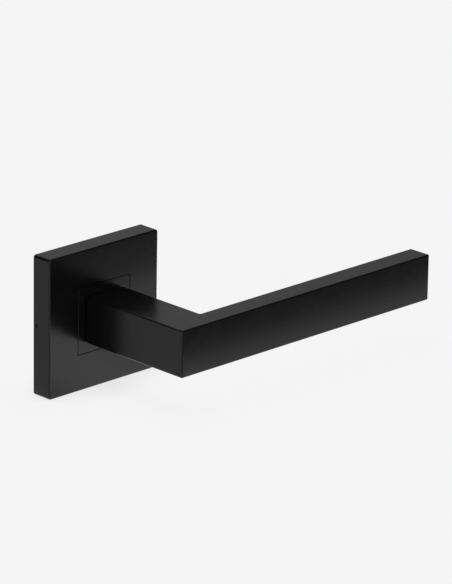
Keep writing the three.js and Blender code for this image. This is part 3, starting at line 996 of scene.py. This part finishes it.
def spindle_grub_screw():
    """An M5 screw with a hexagon socket and a cup point, driven from below."""
    low, high = corners("spindle_grub_screw")
    length = high.z - low.z
    depth, pitch, rows = 0.28, 0.8, 36
    core = high.x - depth
    easing, chamfer = 0.25, 0.6
    cup_mouth, cup_floor, cup_depth = 1.3, 0.5, 0.4
    outline = [(core - easing, 0), (core, easing)]
    outline += [(core, y) for y in spread(easing, length - easing, rows)[1:]]
    outline += [(core - chamfer, length), (cup_mouth, length), (cup_floor, length - cup_depth)]
    blank, fade = 0.2, 0.4
    body = turned(outline, SMALL, ridge=thread(depth, pitch, blank, length - blank, fade))
    across_flats = 2.5
    socket_radius = across_flats / math.sqrt(3)
    ease = 0.15
    stations = [(-PAST, -ease), (0, -ease), (ease, 0), (length / 2, 0), (length / 2 + 0.5, 1.2)]
    socket = column(lambda inset: circle(socket_radius - inset, 6), stations)
    solid = moved(cut(body, socket), turn=90, axis="X")
    return moved(solid, (0, middle("spindle_grub_screw").y, low.z))


def thrust_washer():
    """The flat ring that slides on the back plate."""
    low, high = corners("thrust_washer")
    edge = 0.12
    return turned(ring_section(BOSS_RADIUS + CLOSE, high.x, low.y, high.y, edge), closed=True)


def wave_washer():
    """A flat spring ring pressed into three waves."""
    low, high = corners("wave_washer")
    thickness, edge, waves = 0.3, 0.08, 3
    height = (high.y - low.y - thickness) / 2
    centre = (low.y + high.y) / 2
    section = ring_section(BOSS_RADIUS + CLOSE, high.x, -thickness / 2, thickness / 2, edge)
    ring = turned(section, closed=True)
    for vertex in ring.data.vertices:
        angle = math.atan2(vertex.co.x, vertex.co.z)
        vertex.co.y += centre + height * math.cos(waves * angle)
    return ring


def circlip():
    """The open ring that snaps into the boss's groove, with an eye at each end for the pliers. The
    opening is half the gap's angle, at the bottom."""
    low, high = corners("circlip")
    inner = GROOVE_RADIUS + CLOSE
    outer = high.x
    opening = 22
    edge = 0.1
    section = ring_section(inner, outer, low.y, high.y, edge)
    rings = []
    for angle in spread(opening - 180, 180 - opening, 72):
        a = math.radians(angle)
        rings.append([(r * math.sin(a), y, r * math.cos(a)) for r, y in section])
    ear_radius, eye_radius, eye_sides = 1.5, 0.6, 24
    ear_place = outer + 0.5
    ear_turn = 180 - opening - 2.3
    ears, eyes = [], []
    for side in (1, -1):
        ear = prism(lambda inset: circle(ear_radius - inset, SMALL), low.y, high.y, edge)
        eye = bore(eye_radius, low.y, high.y, edge, eye_sides)
        ears.append(moved(moved(ear, (0, 0, ear_place)), turn=side * ear_turn))
        eyes.append(moved(moved(eye, (0, 0, ear_place)), turn=side * ear_turn))
    return cut(join(loft(rings), *ears), *eyes)


fitted("rose_cover", rose_cover())
fitted("neck_collar", neck_collar())
fitted("neck_bush", neck_bush())
fitted("rose_base", rose_base())
fitted("back_plate", back_plate())
for node in WOOD_SCREWS:
    fitted(node, wood_screw(node))
for node in PLATE_SCREWS:
    fitted(node, back_plate_screw(node))
for node in CLIPS:
    fitted(node, cover_clip(node))
fitted("lever", lever())
fitted("spring_driver", spring_driver())
fitted("half_spindle", half_spindle())
fitted("spindle_grub_screw", spindle_grub_screw())
fitted("thrust_washer", thrust_washer())
fitted("wave_washer", wave_washer())
fitted("circlip", circlip())

# The spring winds up between its outer end, held by the base, and its inner end, in the driver.
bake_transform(finished("return_spring", return_spring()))


# The stage. To the eye it is plain and pale all round. A glossy surface reflects a studio instead:
# a lit floor with a straight front edge and a dark space before it, a bright patch behind the grip,
# and two soft lights.

# How pale the surround looks, and how far and how dark the floor's shade is round the rose
PALE = 0.913
CONTACT_REACH = 0.02
CONTACT_SHADE = 0.78

# Where the floor's light changes, each as the two places that it changes between, in metres
LEFT_EDGE = (-0.045, 0.005)
RIGHT_EDGE = (0.01, 0.04)
FRONT_EDGE = (-0.107, -0.0995)
DARK_EDGE = (-0.11, -0.01)
PATCH_LEFT = (0.045, 0.085)
PATCH_RIGHT = (0.15, 0.19)
PATCH_FRONT = (-0.03, 0.0)
PATCH_BACK = (0.025, 0.055)

# How bright each part of the floor is
LEFT_GLOW = 0.45
MIDDLE_GLOW = 0.96
RIGHT_GLOW = 0.77
BESIDE_DARK_GLOW = 0.75
DARK_GLOW = 0.05
PATCH_GLOW = 5.7

# Soft lights far off: strength, azimuth from +X towards +Y and height above the floor in degrees,
# and how tightly each gathers
SOFT_LIGHTS = [(0.49, 67.0, 18.5, 6.8), (2.7, 268.7, 3.4, 10.82)]

# The even glow above and below the floor, and where it changes, as the sine of the height
AMBIENT = 0.012
BELOW_GLOW = 0.55
HORIZON = (-0.02, 0.0)

# The camera: how it is turned in degrees, where it stands from the origin along its own right, up
# and back in metres, and its lens and sensor in millimetres
AZIMUTH, ELEVATION, ROLL = -44.58, 19.119, 0.878
STANDS = (0.048973, 0.005873, 1.534501)
FOCAL_LENGTH = 266.627
SENSOR_WIDTH = 36
NEAREST, FURTHEST = 0.1, 100


def calculate(tree, operation, first, second):
    """A Math node. Each operand is a number or another node's output."""
    node = tree.nodes.new("ShaderNodeMath")
    node.operation = operation
    for socket, value in zip(node.inputs, (first, second)):
        if isinstance(value, (int, float)):
            socket.default_value = value
        else:
            tree.links.new(value, socket)
    return node.outputs["Value"]


def step_between(tree, value, low, high, start, end):
    """Moves smoothly from start to end as the value goes from low to high."""
    ranged = tree.nodes.new("ShaderNodeMapRange")
    ranged.interpolation_type = "SMOOTHSTEP"
    ranged.inputs["From Min"].default_value = low
    ranged.inputs["From Max"].default_value = high
    for name, limit in (("To Min", start), ("To Max", end)):
        if isinstance(limit, (int, float)):
            ranged.inputs[name].default_value = limit
        else:
            tree.links.new(limit, ranged.inputs[name])
    tree.links.new(value, ranged.inputs["Value"])
    return ranged.outputs["Result"]


def reflected_floor(tree):
    """How bright each place on the floor is to a glossy surface."""
    place = tree.nodes.new("ShaderNodeTexCoord")
    split = tree.nodes.new("ShaderNodeSeparateXYZ")
    tree.links.new(place.outputs["Object"], split.inputs["Vector"])
    across, depth = split.outputs["X"], split.outputs["Y"]
    right = step_between(tree, across, *RIGHT_EDGE, MIDDLE_GLOW, RIGHT_GLOW)
    lit = step_between(tree, across, *LEFT_EDGE, LEFT_GLOW, right)
    dark = step_between(tree, across, *DARK_EDGE, BESIDE_DARK_GLOW, DARK_GLOW)
    floor = step_between(tree, depth, *FRONT_EDGE, dark, lit)
    back = step_between(tree, depth, *PATCH_BACK, PATCH_GLOW, 0.0)
    front = step_between(tree, depth, *PATCH_FRONT, 0.0, back)
    right = step_between(tree, across, *PATCH_RIGHT, front, 0.0)
    patch = step_between(tree, across, *PATCH_LEFT, 0.0, right)
    return calculate(tree, "ADD", floor, patch)


def stage_floor():
    """A plain pale floor that the rose stands on, with a soft shade where they meet. It looks as
    pale as the surround behind it, so the turned lever shows through it. It is clear from
    below."""
    half = 30.0
    height = cad_box[0].z
    mesh = bpy.data.meshes.new("floor")
    mesh.from_pydata([(-half, -half, height), (half, -half, height), (half, half, height),
                      (-half, half, height)], [], [(0, 1, 2, 3)])
    floor = bpy.data.objects.new("floor", mesh)
    bpy.context.scene.collection.objects.link(floor)
    material = bpy.data.materials.new("floor")
    material.use_nodes = True
    tree = material.node_tree
    nodes, links = tree.nodes, tree.links
    nodes.clear()
    contact = nodes.new("ShaderNodeAmbientOcclusion")
    contact.samples = 8
    contact.inputs["Distance"].default_value = CONTACT_REACH
    shade = step_between(tree, contact.outputs["AO"], 0.0, 1.0, CONTACT_SHADE, 1.0)
    rays = nodes.new("ShaderNodeLightPath")
    glow = nodes.new("ShaderNodeMix")
    links.new(rays.outputs["Is Glossy Ray"], glow.inputs["Factor"])
    links.new(calculate(tree, "MULTIPLY", PALE, shade), glow.inputs["A"])
    links.new(reflected_floor(tree), glow.inputs["B"])
    light = nodes.new("ShaderNodeEmission")
    links.new(glow.outputs["Result"], light.inputs["Strength"])
    shaded = nodes.new("ShaderNodeBsdfTransparent")
    links.new(shade, shaded.inputs["Color"])
    clear = nodes.new("ShaderNodeBsdfTransparent")
    side = nodes.new("ShaderNodeNewGeometry")
    above = nodes.new("ShaderNodeMixShader")
    mix = nodes.new("ShaderNodeMixShader")
    out = nodes.new("ShaderNodeOutputMaterial")
    links.new(rays.outputs["Is Camera Ray"], above.inputs["Fac"])
    links.new(light.outputs["Emission"], above.inputs[1])
    links.new(shaded.outputs["BSDF"], above.inputs[2])
    links.new(side.outputs["Backfacing"], mix.inputs["Fac"])
    links.new(above.outputs["Shader"], mix.inputs[1])
    links.new(clear.outputs["BSDF"], mix.inputs[2])
    links.new(mix.outputs["Shader"], out.inputs["Surface"])
    material.cycles.emission_sampling = "NONE"
    mesh.materials.append(material)


def studio_world():
    """A plain pale surround. A glossy surface reflects the soft lights in it, and an even glow from
    below the floor."""
    world = bpy.data.worlds.new("studio")
    bpy.context.scene.world = world
    world.use_nodes = True
    tree = world.node_tree
    place = tree.nodes.new("ShaderNodeTexCoord")
    split = tree.nodes.new("ShaderNodeSeparateXYZ")
    tree.links.new(place.outputs["Generated"], split.inputs["Vector"])
    strength = step_between(tree, split.outputs["Z"], *HORIZON, BELOW_GLOW, AMBIENT)
    for power, azimuth, height, gather in SOFT_LIGHTS:
        azimuth, height = math.radians(azimuth), math.radians(height)
        facing = tree.nodes.new("ShaderNodeVectorMath")
        facing.operation = "DOT_PRODUCT"
        facing.inputs[1].default_value = (
            math.cos(height) * math.cos(azimuth),
            math.cos(height) * math.sin(azimuth),
            math.sin(height),
        )
        tree.links.new(place.outputs["Generated"], facing.inputs[0])
        seen = calculate(tree, "MAXIMUM", facing.outputs["Value"], 0.0)
        lobe = calculate(tree, "POWER", seen, gather)
        strength = calculate(tree, "ADD", strength, calculate(tree, "MULTIPLY", lobe, power))
    rays = tree.nodes.new("ShaderNodeLightPath")
    glow = tree.nodes.new("ShaderNodeMix")
    tree.links.new(rays.outputs["Is Glossy Ray"], glow.inputs["Factor"])
    glow.inputs["A"].default_value = PALE
    tree.links.new(strength, glow.inputs["B"])
    background = tree.nodes["Background"]
    background.inputs["Color"].default_value = (1, 1, 1, 1)
    tree.links.new(glow.outputs["Result"], background.inputs["Strength"])


def camera():
    """The camera looks along the lever from its left and a little above."""
    azimuth, elevation, roll = (math.radians(angle) for angle in (AZIMUTH, ELEVATION, ROLL))
    back = Vector((
        math.sin(azimuth) * math.cos(elevation),
        -math.cos(azimuth) * math.cos(elevation),
        math.sin(elevation),
    ))
    right = Vector((math.cos(azimuth), math.sin(azimuth), 0))
    up = back.cross(right)
    turn = Matrix((right, up, back)).transposed() @ Matrix.Rotation(roll, 3, "Z")
    lens = bpy.data.cameras.new("camera")
    lens.sensor_width = SENSOR_WIDTH
    lens.lens = FOCAL_LENGTH
    lens.clip_start, lens.clip_end = NEAREST, FURTHEST
    viewer = bpy.data.objects.new("camera", lens)
    viewer.matrix_world = Matrix.Translation(turn @ Vector(STANDS)) @ turn.to_4x4()
    bpy.context.scene.collection.objects.link(viewer)
    bpy.context.scene.camera = viewer


camera()
stage_floor()
studio_world()
scene = bpy.context.scene
scene.view_settings.view_transform = "Standard"
scene.cycles.use_denoising = True
